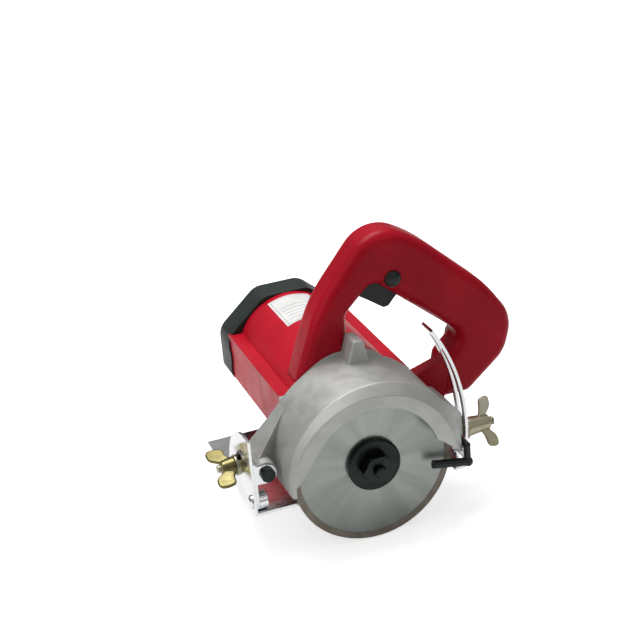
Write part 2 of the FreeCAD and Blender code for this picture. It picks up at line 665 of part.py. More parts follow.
def make_brush_gear():
    middle = "(commutator_from + commutator_to) / 2"
    brushes, holders, springs = [], [], []
    for name, sign in (("right", 1), ("left", -1)):
        def span(near, far):
            return (near, far) if sign > 0 else (f"-({far})", f"-({near})")

        def bar(label, near, far, grow):
            return box(label, span(near, far),
                       (f"{middle} - brush_long / 2 - {grow}", f"{middle} + brush_long / 2 + {grow}"),
                       (f"motor_rise - brush_wide / 2 - {grow}",
                        f"motor_rise + brush_wide / 2 + {grow}"))
        brushes.append(bar(f"{name}_brush", "commutator_radius + 0.1", "brush_out", 0))
        holders.append(cut(f"{name}_holder", bar(f"{name}_sleeve", 14, "box_half - 4.5", 1.8),
                           bar(f"{name}_way", 13, "box_half - 5.8", 0.1)))
        low, high = span("brush_out + 0.5", "box_half - 6.4")
        springs.append(coil_spring(f"{name}_brush_spring", "X", low, high, 2.2, 0.3, 6,
                                   (middle, "motor_rise")))
    node(group("carbon_brushes", *brushes), "carbon_brushes")
    node(group("brush_holders", *holders), "brush_holders")
    node(group("brush_springs", *springs), "brush_springs")


def make_motor_housing():
    """The red barrel: two long flat-sided pockets, four screw tubes and two cover posts."""
    low, high = "flange_plate_back", "motor_back"
    outside = fuse("barrel_outside", *motor_section("outside", low, high))
    inside = fuse("barrel_inside",
                  cylinder("inside_barrel", "Y", "barrel_radius - shell", f"{low} - 1",
                           f"{high} + 1", (0, "motor_rise")),
                  box("inside_sides", ("shell - box_half", "box_half - shell"),
                      (f"{low} - 1", f"{high} + 1"), ("box_low + shell", "box_high - shell")))
    tubes = [cylinder(f"screw_tube_{number}", "Y", 3.9, low, f"{high} - 5", spot)
             for number, spot in enumerate(long_screw_spots())]
    posts = [cylinder(f"cover_post_{number}", "Y", 5.4, f"{high} - 7", high, spot)
             for number, spot in enumerate(cover_screw_spots())]
    holes = [cylinder(f"tube_hole_{number}", "Y", 2.05, f"{low} - 1", high, spot)
             for number, spot in enumerate(long_screw_spots())]
    holes += [cylinder(f"head_room_{number}", "Y", 3.5, f"{high} - 5", f"{high} + 1", spot)
              for number, spot in enumerate(long_screw_spots())]
    holes += [cylinder(f"post_hole_{number}", "Y", 1.75, f"{high} - 6", f"{high} + 1", spot)
              for number, spot in enumerate(cover_screw_spots())]
    node(cut("motor_housing", fuse("housing_shell", cut("barrel_wall", outside, inside), *tubes,
                                   *posts), *holes), "motor_housing")
    screws = [screw(f"long_screw_{number}", "Y", f"{high} - 5", -1, 2.6, 3.4, 2, 110, spot)
              for number, spot in enumerate(long_screw_spots())]
    node(group("motor_housing_screws", *screws), "motor_housing_screws")


def cover_outline(inset):
    half, top = f"cover_half - {inset}", f"cover_top - {inset}"
    shoulder, flat = f"cover_shoulder - 0.3 * {inset}", f"cover_flat - 0.4 * {inset}"
    low, toe = f"cover_low + {inset}", f"cover_half - 19 - 0.6 * {inset}"
    side = f"box_low + 1 + 0.4 * {inset}"
    return [(f"-({half})", side), (f"-({half})", shoulder), (f"-({flat})", top), (flat, top),
            (half, shoulder), (half, side), (toe, low), (f"-({toe})", low)]


def make_rear_cover():
    """The tail cap: eight-sided, vented, with the rear bearing's seat and two side tongues."""
    cap = new_body("cover_cap")
    pad = extrude(cap, "cap_block", "Y", "motor_back - cover_lap", "cover_back", cover_outline(0))
    sketch = pad.Profile[0]
    sides = round_off(cap, "cap_corners", pad, corner_edges(pad, sketch, "Y", (1, 2, 3, 4)), 14)
    sides = round_off(cap, "cap_toes", sides, corner_edges(sides, sketch, "Y", (0, 5, 6, 7)), 6)
    round_off(cap, "cap_back", sides, face_edges(sides, "Y", size("cover_back")), 5)
    hollow(cap, "cap_hollow", "Y", "motor_back + 3", "cover_back - shell", cover_outline(4))
    mouth = [cylinder("mouth_round", "Y", "barrel_radius - shell", "motor_back - 1",
                      "motor_back + 4", (0, "motor_rise")),
             box("mouth_sides", ("shell - box_half", "box_half - shell"),
                 ("motor_back - 1", "motor_back + 4"), ("box_low + shell", "box_high - shell"))]
    lap = fuse("lap_socket", *motor_section("lap", "motor_back - cover_lap - 1", "motor_back", 0.05))
    slots = [box(f"vent_{number}", (x - 1.6, x + 1.6), ("cover_back - 5", "cover_back + 1"),
                 (low, high))
             for number, (x, low, high) in enumerate(
                 [(x, low, high) for x in (-33, -27, -21, 21, 27, 33)
                  for low, high in ((26, 42), (0, 16))])]
    slots += [box(f"top_vent_{number}", (x - 1.6, x + 1.6), ("cover_back - 5", "cover_back + 1"),
                  (43, 56)) for number, x in enumerate((-12, -6, 0, 6, 12))]
    seat = cylinder("cover_boss", "Y", "small_race + 3", "tail_bearing_from - 2", "cover_back - 1",
                    (0, "motor_rise"))
    seat_hole = cylinder("cover_seat", "Y", "small_race", "tail_bearing_from - 3",
                         "tail_bearing_from + small_width - 1", (0, "motor_rise"))
    relief = cylinder("cover_relief", "Y", 5, "tail_bearing_from", "tail_bearing_from + 9",
                      (0, "motor_rise"))
    tubes = [cylinder(f"cover_tube_{number}", "Y", 4.6, "motor_back", "cover_back - 1", spot)
             for number, spot in enumerate(cover_screw_spots())]
    holes = [cylinder(f"cover_hole_{number}", "Y", 1.8, "motor_back - 1", "cover_back + 1", spot)
             for number, spot in enumerate(cover_screw_spots())]
    holes += [cylinder(f"cover_sink_{number}", "Y", 3.6, "cover_back - 3.5", "cover_back + 1",
                       spot) for number, spot in enumerate(cover_screw_spots())]
    tongues = [common(f"tongue_{number}",
                      cylinder(f"tongue_disc_{number}", "X", 13.5, low, high, (163.5, 22.5)),
                      box(f"tongue_region_{number}", (-60, 60), (148, "motor_back + 2"), (0, 40)))
               for number, (low, high) in enumerate(
                   [("-cover_half", "-box_half - 0.05"), ("box_half + 0.05", "cover_half")])]
    shell = cut("cover_shell", cap, lap, *mouth)
    node(cut("rear_cover", fuse("cover_solid", shell, seat, *tubes, *tongues), seat_hole, relief,
             *holes, *slots), "rear_cover")
    screws = [screw(f"cover_screw_{number}", "Y", "cover_back - 3.5", -1, 2.2, 3.3, 1.7, 24, spot)
              for number, spot in enumerate(cover_screw_spots())]
    node(group("rear_cover_screws", *screws), "rear_cover_screws")


def make_label():
    """A blank rating plate that follows the barrel's curve."""
    skin = ring("label_skin", "Y", "barrel_radius + 0.02 + label_thick", "barrel_radius + 0.02",
                "label_from", "label_to", (0, "motor_rise"))
    window = box("label_window", (-16.5, 14.5), ("label_from", "label_to"), ("motor_rise + 20", 70))
    node(common("rating_plate", skin, window), "rating_plate")


# ---------------------------------------------------------------- handle
# Corners of the handle's outline (X, Z), and the radius that rounds each group of them.
HANDLE = [(-36, 38), (-14, 96), (19, 134.5), (37, 141.5), (60, 128.5), (107, 85.5), (126, 58),
          (119, 33), (90, 9.5), (66, 9.5), (72, 38), (88, 53), (26, 105.5), (5.5, 86), (5.5, 50)]
HANDLE_CORNERS = ((26, (2, 3, 6, 7)), (100, (1, 4, 5)), (8, (8, 10, 11, 12, 13)))
HANDLE_SCREWS = [(-12, 72), (16, 118), (66, 97.5), (106, 62), (82, 24)]


def handle_block(name, low, high, face, opening):
    """One hollow half of the handle, rounded on its outer face and open where the halves meet."""
    block = new_body(name)
    feature = extrude(block, name + "_pad", "Y", low, high, HANDLE)
    sketch = feature.Profile[0]
    for number, (radius, picks) in enumerate(HANDLE_CORNERS):
        feature = round_off(block, f"{name}_corner_{number}", feature,
                            corner_edges(feature, sketch, "Y", picks), radius)
    feature = round_off(block, name + "_soft", feature, face_edges(feature, "Y", size(face)), 7.5)
    doc.recompute()
    mouth = [f"Face{number}" for number, side in enumerate(feature.Shape.Faces, 1)
             if abs(side.BoundBox.YMin - size(opening)) + abs(side.BoundBox.YMax - size(opening))
             < 0.01]
    shell = block.newObject("PartDesign::Thickness", name + "_shell")
    shell.Base = (feature, mouth)
    bind(shell, {"Value": "handle_wall"})
    shell.Mode = 0
    shell.Join = 0
    shell.Reversed = True
    block.Tip = shell
    return block


def prism(name, axis, low, high, corners):
    body = new_body(name)
    extrude(body, name + "_pad", axis, low, high, corners)
    return body


def make_handle():
    """Two shells clamped across the switch, a web down the motor's side and five screws."""
    trigger_way = prism("trigger_way", "Y", "handle_split - trigger_half - 0.4",
                        "handle_split + trigger_half + 0.4",
                        [(9, 94), (30, 80), (49, 92), (49, 104), (24, 116), (9, 108)])
    front = handle_block("front_block", "handle_front", "handle_split", "handle_front",
                         "handle_split")
    rear = handle_block("rear_block", "handle_split", "handle_back", "handle_back", "handle_split")
    web = prism("side_web", "Y", "handle_front", "web_back",
                [("box_half + 0.4", 9.5), (70, 9.5), (76, 40.5), ("box_half + 0.4", 31.5)])
    button = ("lock_x", "lock_z")
    sleeve = cylinder("button_sleeve", "Y", "lock_radius + 1.6", "handle_front + 1", 46.6, button)
    button_way = [cylinder("button_bore", "Y", "lock_radius + 0.08", "handle_front - 1", 45.4,
                           button),
                  cylinder("button_eye", "Y", 2.3, 45, 47, button)]
    front_posts = [cylinder(f"front_post_{number}", "Y", 4, "handle_front + 1.5", "handle_split",
                            spot) for number, spot in enumerate(HANDLE_SCREWS)]
    rear_posts = [cylinder(f"rear_post_{number}", "Y", 4, "handle_split", "handle_back - 1.5",
                           spot) for number, spot in enumerate(HANDLE_SCREWS)]
    pin = ("trigger_turn_x", "trigger_turn_z")
    pin_seats = [cylinder("front_pin_post", "Y", 3.4, "handle_front + 1.5", 46.4, pin),
                 cylinder("rear_pin_post", "Y", 3.4, 60.6, "handle_back - 1.5", pin)]
    pin_hole = cylinder("pin_hole", "Y", 1.52, 42.8, 64.2, pin)
    saddle = fuse("handle_saddle", *motor_section("saddle", "handle_front - 2",
                                                  "handle_back + 1", 0.2))
    screw_front = [cylinder(f"front_screw_hole_{number}", "Y", 1.55, 43, "handle_split + 1", spot)
                   for number, spot in enumerate(HANDLE_SCREWS)]
    screw_rear = [cylinder(f"rear_screw_hole_{number}", "Y", 1.6, "handle_split - 1",
                           "handle_back + 1", spot) for number, spot in enumerate(HANDLE_SCREWS)]
    screw_rear += [cylinder(f"rear_screw_sink_{number}", "Y", 3.6, "handle_back - 2",
                            "handle_back + 1", spot) for number, spot in enumerate(HANDLE_SCREWS)]
    cord_hole = cylinder("cord_hole", "Y", 5.6, 62, "handle_back + 1", ("cord_x", "cord_z"))
    node(cut("handle_front_half", fuse("front_solid", front, web, sleeve, pin_seats[0],
                                       *front_posts),
             trigger_way, saddle, pin_hole, *button_way, *screw_front), "handle_front_half")
    node(cut("handle_rear_half", fuse("rear_solid", rear, pin_seats[1], *rear_posts), trigger_way,
             saddle, pin_hole, cord_hole, *screw_rear), "handle_rear_half")
    screws = [screw(f"handle_screw_{number}", "Y", "handle_back - 2", -1, 1.8, 3.2, 1.5, 20, spot)
              for number, spot in enumerate(HANDLE_SCREWS)]
    node(group("handle_screws", *screws), "handle_screws")


def make_switch():
    """The switch, the trigger that works it, and the button that holds the trigger in."""
    switch = doc.addObject("Part::Box", "switch_body")
    switch.Placement.Rotation = FreeCAD.Rotation(Vector(0, 1, 0), size("grip_slope"))
    bind(switch, {"Length": 34, "Width": 14.3, "Height": 18})
    place(switch, "Y", "handle_split - 6.3",
          ("switch_x - 17 * cos(grip_slope) - 9 * sin(grip_slope)",
           "switch_z + 17 * sin(grip_slope) - 9 * cos(grip_slope)"))
    node(switch, "switch_body")
    lever = prism("trigger_lever", "Y", "handle_split - trigger_half", "handle_split + trigger_half",
                  [(12, 99), (21, 93), (33.5, 84), (37, 84.5), (44.5, 92.5), (45.5, 97.5),
                   (22, 110), (13, 108)])
    pad = lever.Tip
    round_off(lever, "finger_edges", pad, corner_edges(pad, pad.Profile[0], "Y", (2, 3, 4, 7)), 1.8)
    pin = ("trigger_turn_x", "trigger_turn_z")
    node(cut("trigger", lever, cylinder("trigger_eye", "Y", 1.55, 46, 61, pin)), "trigger")
    node(cylinder("trigger_pin", "Y", 1.5, 43, 64, pin), "trigger_pin")
    node(coil_spring("trigger_spring", "Z", 103.7, 107.4, 2.6, 0.4, 3, (38, "handle_split")),
         "trigger_spring")
    button = ("lock_x", "lock_z")
    node(turned("lock_button", "Y", button, (36.8, 0), (36.9, 1.5), (37.2, 3), (37.8, 4.3),
                (38.6, "lock_radius - 0.35"), (39.4, "lock_radius"), (42.4, "lock_radius"),
                (42.4, 1.8), (44, 1.8), (44, 0)), "lock_button")
    node(coil_spring("lock_button_spring", "Y", 43, 44.8, 3.6, 0.3, 2, button),
         "lock_button_spring")


def bend(name, radius, reach, centre, turn):
    """A quarter bend of round bar about a line along X."""
    obj = doc.addObject("Part::Torus", name)
    obj.Placement.Rotation = AXES["X"].multiply(FreeCAD.Rotation(Vector(0, 0, 1), turn))
    bind(obj, {"Radius1": reach, "Radius2": radius, "Angle3": 90})
    place(obj, "X", "cord_x", centre)
    return obj


def make_cord():
    """The supply cord leaving the rear of the handle, and the ribbed guard at its root."""
    profile = [(61.6, "cord_radius + 0.05"), (61.6, 7.2), (63.2, 7.2), (63.2, 5.5), (67.5, 5.5)]
    for number in range(6):
        start, radius = 67.5 + 2.7 * number, 5.8 - 0.2 * number
        profile += [(start + 0.6, radius - 1), (start + 1.2, radius - 1), (start + 1.8, radius),
                    (start + 2.7, radius)]
    profile.append((83.7, "cord_radius + 0.05"))
    node(turned("cord_guard", "Y", ("cord_x", "cord_z"), *profile), "cord_guard")
    reach = "cord_reach"
    run = [cylinder("cord_root", "Y", "cord_radius", 56, 85, ("cord_x", "cord_z")),
           bend("cord_fall", "cord_radius", reach, (85, f"cord_z - {reach}"), 90),
           cylinder("cord_drop", "Z", "cord_radius", 2, f"cord_z - {reach}",
                    ("cord_x", f"85 + {reach}")),
           bend("cord_lift", "cord_radius", reach, (f"85 + 2 * {reach}", 2), -90),
           cylinder("cord_end", "Y", "cord_radius", f"85 + 2 * {reach}", 126,
                    ("cord_x", f"2 - {reach}"))]
    node(fuse("power_cord", *run), "power_cord")


# ---------------------------------------------------------------- water feed
def rod(name, radius, start, end):
    """A round bar between two points."""
    obj = doc.addObject("Part::Cylinder", name)
    way = Vector(*end) - Vector(*start)
    obj.Placement.Rotation = FreeCAD.Rotation(Vector(0, 0, 1), way)
    bind(obj, {"Radius": radius, "Height": way.Length})
    place(obj, "X", start[0], start[1:])
    return obj


def make_water_feed():
    """A nozzle aimed at the blade, plugged into the housing, and the hose barb behind it."""
    prong = rod("nozzle_prong", 2.8, (38.7, -8, -8.5), (size("feed_x"), -8, -13))
    jet = rod("nozzle_jet", 1, (38, -8, -8.4), (50, -8, -10.6))
    hub = doc.addObject("Part::Sphere", "nozzle_hub")
    bind(hub, {"Radius": 3.3})
    place(hub, "X", "feed_x", (-8, -13))
    stem = cylinder("nozzle_stem", "Z", 2.3, -13, "feed_z", ("feed_x", -7.4))
    elbow = doc.addObject("Part::Sphere", "nozzle_elbow")
    bind(elbow, {"Radius": 2.5})
    place(elbow, "X", "feed_x", (-7.4, "feed_z"))
    pipe = cylinder("nozzle_pipe", "Y", 2.3, -7.4, 5, ("feed_x", "feed_z"))
    spigot = cylinder("nozzle_spigot", "Y", 2, 4, 8.3, ("feed_x", "feed_z"))
    node(cut("water_nozzle", fuse("nozzle_solid", prong, hub, stem, elbow, pipe, spigot), jet),
         "water_nozzle")
    node(turned("water_inlet", "Y", ("feed_x", "feed_z"), (15.4, 1.2), (15.4, 2), (30.05, 2), (30.05, 3.1),
                (32, 3.1), (32, "spigot_radius"), (43.4, "spigot_radius"), (44, 2.2), (44, 1.2)),
         "water_inlet")


# ---------------------------------------------------------------- base plate and its guides
def sector(name, axis, radius, low, high, centre, start, sweep):
    """Part of a disc; the start angle is in degrees, turning positively about the axis."""
    obj = cylinder(name, axis, radius, low, high, centre)
    obj.Placement.Rotation = AXES[axis].multiply(FreeCAD.Rotation(Vector(0, 0, 1), start))
    bind(obj, {"Angle": sweep})
    return obj


def make_base_plate():
    """A flat sole with a blade gap, a slotted quadrant in front and a small riser behind."""
    near, far = "plate_near", "plate_far"
    top = "plate_low + plate_thick"
    sole = prism("sole", "Z", "plate_low", top,
                 [("plate_front", near), (-27, near), (-27, 42), (27, 42), (27, near), (57, near),
                  (57, -2), (65, -2), (65, 24), ("plate_rear", 24), ("plate_rear", far),
                  ("plate_front", far)])
    front = ("plate_front", "plate_front + plate_thick")
    quadrant = common("quadrant",
                      cylinder("quadrant_disc", "X", "quadrant_radius", *front,
                               ("bevel_y", "bevel_z")),
                      box("quadrant_region", ("plate_front - 1", "plate_front + 3"),
                          (near, 60), ("plate_low", 34)))
    begin, finish = size("bevel_rest"), size("bevel_rest") + size("bevel_sweep")
    swept = ("plate_front - 1", "plate_front + plate_thick + 1")
    slot_ring = cut("quadrant_slot",
                    sector("slot_outer", "X", "slot_radius + slot_half", *swept,
                           ("bevel_y", "bevel_z"), 90 + begin, "bevel_sweep"),
                    cylinder("slot_inner", "X", "slot_radius - slot_half", *swept,
                             ("bevel_y", "bevel_z")))
    ends = [cylinder(f"slot_end_{number}", "X", "slot_half", *swept,
                     (f"bevel_y + slot_radius * cos({angle})",
                      f"bevel_z + slot_radius * sin({angle})"))
            for number, angle in enumerate((begin, finish))]
    riser = [box("riser_post", (62, 63.8), (near, 18), ("plate_low", "bevel_z")),
             cylinder("riser_eye", "X", 6, 62, 63.8, ("bevel_y", "bevel_z"))]
    pivots = [cylinder("quadrant_pivot", "X", 2.55, *swept, ("bevel_y", "bevel_z")),
              cylinder("riser_pivot", "X", 2.55, 60, 66, ("bevel_y", "bevel_z"))]
    node(cut("base_plate", fuse("base_blank", sole, quadrant, *riser), slot_ring, *ends, *pivots),
         "base_plate")


def bolt_seat():
    return ("bevel_y + slot_radius * cos(bevel_rest)", "bevel_z + slot_radius * sin(bevel_rest)")


def make_bevel_lock():
    """The front bracket that swings with the depth, its pivot, and the bolt that locks the tilt."""
    plate = prism("bracket_plate", "X", -78.1, -76.1,
                  [(7, -13), (7.8, -17.2), (9.75, -18.4), (12, -18.95), (22, -18.95), (46, -6),
                   (47, 4), (42, 8), (14, 15), (7, 15)])
    ear = box("bracket_ear", (-78.1, "depth_x"), (7, 9.5),
              ("depth_z - ear_radius", "depth_z + ear_radius"))
    ear_disc = cylinder("ear_disc", "Y", "ear_radius", 7, 9.5, ("depth_x", "depth_z"))
    holes = [cylinder("bracket_rivet_hole", "X", 2.5, -79, -75, ("bevel_y", "bevel_z")),
             cylinder("bracket_bolt_hole", "X", "bolt_radius", -79, -75, bolt_seat()),
             cylinder("bracket_pivot_hole", "Y", 4.05, 6, 10, ("depth_x", "depth_z"))]
    node(cut("depth_bracket", fuse("bracket_solid", plate, ear, ear_disc), *holes),
         "depth_bracket")
    node(turned("depth_pivot_screw", "Y", ("depth_x", "depth_z"), (3.5, 0), (3.5, 4.1), (4.1, 4.7),
                (6.9, 4.7), (6.9, 4), (9.7, 4), (9.7, 3), (27, 3), (27, 0)), "depth_pivot_screw")
    axis = ("bevel_y", "bevel_z")
    node(turned("bevel_front_rivet", "X", axis, (-82.2, 0), (-82, 3), (-80.9, 4.5), (-80.05, 4.5),
                (-80.05, 2.5), (-76.1, 2.5), (-76.1, 6), (-70.5, 6), (-70.5, 0)),
         "bevel_front_rivet")
    node(turned("bevel_bolt", "X", bolt_seat(), (-93.5, 0), (-93.5, 2.5), (-92.9, "bolt_radius"),
                (-76.1, "bolt_radius"), (-76.1, 5.2), (-73.6, 5.2), (-72.8, 4), (-72.8, 0)),
         "bevel_bolt")
    node(ring("bevel_washer", "X", 7, "bolt_radius + 0.05", -81.4, -80.05, bolt_seat()),
         "bevel_washer")


def wing_nut(name, way, hub, reach, height, root, contact, centre, lean):
    """A hub with two flat wings that rise from it at root; lean turns it on its bolt."""
    base = turned(name + "_hub", "X", (0, 0), (0, 0), (0, hub), (way * (root + 1), hub),
                  (way * (height - 5), hub - 1.5), (way * (height - 5), 0))
    wings = []
    for side in (1, -1):
        label = f"{name}_wing_{'upper' if side > 0 else 'lower'}"
        wing = prism(label, "Y", -1.4, 1.4,
                     [(way * root, side * (hub - 3)), (way * (root + 1), side * hub),
                      (way * (height - 8.5), side * reach), (way * height, side * reach),
                      (way * height, side * (reach - 8.5)), (way * (height - 5.5), side * (hub - 4))])
        pad = wing.Tip
        round_off(wing, label + "_lobe", pad, corner_edges(pad, pad.Profile[0], "Y", (3,)), 5)
        lobe = wing.Tip
        round_off(wing, label + "_heel", lobe, corner_edges(lobe, pad.Profile[0], "Y", (2, 4)), 3)
        wings.append(wing)
    nut = cut(name, fuse(name + "_solid", base, *wings),
              cylinder(name + "_bore", "X", "bolt_radius + 0.05", -30, 30))
    nut.Placement.Rotation = FreeCAD.Rotation(Vector(1, 0, 0), lean)
    place(nut, "X", contact, centre)
    return nut


def make_depth_guide():
    """The slotted strip bent round the depth pivot, its rivet, and the clamp behind the drum."""
    middle = ("depth_x", "depth_z")
    start, sweep = -size("arc_up"), "arc_up + arc_down"
    strip = cut("guide_strip",
                sector("strip_outer", "Y", "arc_radius", "arc_near", "arc_far", middle, start,
                       sweep),
                cylinder("strip_inner", "Y", "arc_radius - arc_thick", "arc_near - 1",
                         "arc_far + 1", middle))
    slot = cut("guide_slot",
               sector("guide_slot_outer", "Y", "arc_radius + 2", "lock_y - slot_half",
                      "lock_y + slot_half", middle, -28.3, 33.3),
               cylinder("guide_slot_inner", "Y", "arc_radius - 4", "arc_near", "arc_far", middle))
    ends = []
    for number, angle in enumerate((-5, 28.3)):
        turn = math.radians(angle)
        points = [(size("depth_x") + radius * math.cos(turn), size("lock_y"),
                   size("depth_z") + radius * math.sin(turn)) for radius in (134, 143)]
        ends.append(rod(f"guide_end_{number}", "slot_half", *points))
    hole = cylinder("guide_rivet_hole", "X", 2.5, 60, 76, ("bevel_y", "bevel_z"))
    node(cut("depth_guide_arc", strip, slot, *ends, hole), "depth_guide_arc")
    node(turned("bevel_rear_rivet", "X", ("bevel_y", "bevel_z"), (60.4, 0), (60.6, 3), (61.2, 4.4),
                (61.9, 4.4), (61.9, 2.5), (70.8, 2.5), (70.8, 4.4), (72.2, 4), (72.8, 2.5),
                (72.8, 0)), "bevel_rear_rivet")
    bolt = ("lock_y", "lock_height")
    node(turned("depth_lock_bolt", "X", bolt, (58.6, 0), (58.6, "bolt_radius"),
                (91.8, "bolt_radius"), (92.5, 2.4), (92.5, 0)), "depth_lock_bolt")
    node(ring("depth_lock_washer", "X", 8, "bolt_radius + 0.05", 70.8, 72.2, bolt),
         "depth_lock_washer")


def make_wing_nuts():
    node(wing_nut("bevel_wing_nut", -1, 6, 15, 14.5, 1, -81.5, bolt_seat(), 15), "bevel_wing_nut")
    node(wing_nut("depth_lock_wing_nut", 1, 6.5, 15.5, 20, 7, 72.3, ("lock_y", "lock_height"), 62),
         "depth_lock_wing_nut")


# ---------------------------------------------------------------- the whole saw
def check_and_export():
    doc.recompute()
    for obj in doc.Objects:
        if "Invalid" in obj.State or "Error" in obj.State:
            raise RuntimeError(f"{obj.Name} failed: {obj.State}")
    for obj in nodes:
        if obj.Shape.isNull() or not obj.Shape.isValid() or not obj.Shape.Solids:
            raise RuntimeError(f"{obj.Label} has no valid solid")
    os.makedirs("parts", exist_ok=True)
    for obj in nodes:
        obj.Shape.exportStep(f"parts/{obj.Label}.step")
        print(f"{obj.Label:24s} {len(obj.Shape.Solids)} solid(s) {obj.Shape.Volume:10.1f} mm3")


for make in (make_blade, make_flanges, make_nut, make_spindle, make_gears, make_bearings,
             make_gear_housing, make_bearing_retainer, make_armature, make_fan, make_stator,
             make_brush_gear, make_motor_housing, make_rear_cover, make_label, make_handle,
             make_switch, make_cord, make_water_feed, make_base_plate, make_bevel_lock,
             make_depth_guide, make_wing_nuts):
    make()
check_and_export()
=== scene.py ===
import json
import math

import bpy
from mathutils import Matrix, Vector


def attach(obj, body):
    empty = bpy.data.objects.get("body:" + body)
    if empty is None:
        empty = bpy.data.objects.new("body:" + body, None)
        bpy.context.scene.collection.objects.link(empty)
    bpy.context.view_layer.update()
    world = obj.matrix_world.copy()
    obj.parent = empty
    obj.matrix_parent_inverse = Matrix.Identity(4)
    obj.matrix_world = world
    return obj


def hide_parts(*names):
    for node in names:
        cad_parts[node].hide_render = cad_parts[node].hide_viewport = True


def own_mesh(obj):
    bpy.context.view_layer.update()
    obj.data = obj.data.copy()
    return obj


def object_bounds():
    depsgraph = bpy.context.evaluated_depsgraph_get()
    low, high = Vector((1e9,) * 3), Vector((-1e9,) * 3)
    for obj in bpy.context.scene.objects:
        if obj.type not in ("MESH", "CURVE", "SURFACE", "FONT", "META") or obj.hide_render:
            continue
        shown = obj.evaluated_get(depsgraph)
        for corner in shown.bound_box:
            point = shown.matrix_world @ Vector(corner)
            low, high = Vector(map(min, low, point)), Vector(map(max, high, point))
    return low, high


# Looks of the slab saw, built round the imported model.  Metres, in the model's own frame:
# the blade turns about +Y, +Z is up and the motor's tail points along +Y.

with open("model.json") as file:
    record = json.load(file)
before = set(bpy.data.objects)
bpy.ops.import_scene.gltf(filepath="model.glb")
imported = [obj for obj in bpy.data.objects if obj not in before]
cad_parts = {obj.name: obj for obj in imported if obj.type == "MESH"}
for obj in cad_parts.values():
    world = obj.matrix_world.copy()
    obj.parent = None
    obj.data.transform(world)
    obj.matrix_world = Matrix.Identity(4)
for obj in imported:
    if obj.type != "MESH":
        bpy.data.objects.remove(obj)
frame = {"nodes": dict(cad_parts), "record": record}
cad_low, cad_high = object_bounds()
nodes = frame["nodes"]
MM = 0.001
BEVEL_BOLT = (12 + 31 * math.cos(math.radians(25)), -13 + 31 * math.sin(math.radians(25)))
DEPTH_STUD = (11.75, 1)
BORE_RADIUS = 3.15
LOBE_THICK = 2.7
NUT_VOXEL = 0.28 * MM
TRIGGER_SPRING = (38, 53.5)
BUTTON_SPRING = (38.6, 105.8)


# ---------------------------------------------------------------- shader building blocks
class Shader:
    """One material's node tree, with short calls for the nodes that every finish uses."""

    def __init__(self, name):
        self.material = bpy.data.materials.new(name)
        self.material.use_nodes = True
        self.tree = self.material.node_tree
        self.surface = self.tree.nodes["Principled BSDF"]
        self.place = self.add("ShaderNodeTexCoord").outputs["Object"]

    def add(self, kind, settings=None, **inputs):
        made = self.tree.nodes.new(kind)
        for key, value in (settings or {}).items():
            setattr(made, key, value)
        for key, value in inputs.items():
            self.feed(made.inputs[key.replace("_", " ")], value)
        return made

    def feed(self, socket, value):
        if isinstance(value, bpy.types.NodeSocket):
            self.tree.links.new(value, socket)
        else:
            socket.default_value = value

    def maths(self, operation, first, second=0.5, third=0.0):
        made = self.tree.nodes.new("ShaderNodeMath")
        made.operation = operation
        for socket, value in zip(made.inputs, (first, second, third)):
            self.feed(socket, value)
        return made.outputs[0]

    def span(self, value, low, high, to_low, to_high):
        made = self.add("ShaderNodeMapRange", {"interpolation_type": "SMOOTHSTEP"})
        for socket, item in zip(made.inputs, (value, low, high, to_low, to_high)):
            self.feed(socket, item)
        return made.outputs[0]

    def noise(self, scale, detail=4.0, rough=0.55, place=None):
        made = self.add("ShaderNodeTexNoise", Scale=scale, Detail=detail, Roughness=rough,
                        Vector=self.place if place is None else place)
        return made.outputs["Fac"]

    def mix(self, share, first, second):
        made = self.add("ShaderNodeMix", {"data_type": "RGBA"})
        self.feed(made.inputs[0], share)
        for socket, colour in ((made.inputs[6], first), (made.inputs[7], second)):
            self.feed(socket, colour if isinstance(colour, bpy.types.NodeSocket) else (*colour, 1))
        return made.outputs[2]

    def stretched(self, x, y, z):
        made = self.add("ShaderNodeMapping", Vector=self.place, Scale=(x, y, z))
        return made.outputs["Vector"]

    def round_the_axis(self, centre, along, around):
        """Coordinates that run with the radius and the angle about a line along Y."""
        x, _, z = self.add("ShaderNodeSeparateXYZ", Vector=self.place).outputs
        across = self.maths("SUBTRACT", x, centre[0])
        up = self.maths("SUBTRACT", z, centre[1])
        squares = self.maths("ADD", self.maths("MULTIPLY", across, across),
                             self.maths("MULTIPLY", up, up))
        radius = self.maths("SQRT", squares)
        angle = self.maths("ARCTAN2", up, across)
        joined = self.add("ShaderNodeCombineXYZ", X=self.maths("MULTIPLY", radius, along),
                          Y=self.maths("MULTIPLY", angle, around))
        return joined.outputs[0]

    def edges(self, radius):
        """The rounded normal for small radii, and how much each spot is an outside edge."""
        soft = self.add("ShaderNodeBevel", {"samples": 4}, Radius=radius)
        plain = self.add("ShaderNodeNewGeometry").outputs["Normal"]
        alike = self.add("ShaderNodeVectorMath", {"operation": "DOT_PRODUCT"})
        self.feed(alike.inputs[0], soft.outputs[0])
        self.feed(alike.inputs[1], plain)
        return soft.outputs[0], self.span(alike.outputs["Value"], 0.75, 0.99, 1.0, 0.0)

    def bump(self, height, distance, normal=None, strength=1.0):
        made = self.add("ShaderNodeBump", Height=height, Distance=distance, Strength=strength)
        if normal is not None:
            self.feed(made.inputs["Normal"], normal)
        return made.outputs[0]

    def finish(self, **inputs):
        for key, value in inputs.items():
            name = key.replace("_", " ")
            if isinstance(value, tuple) and len(value) == 3:
                value = (*value, 1)
            self.feed(self.surface.inputs[name], value)
        return self.material


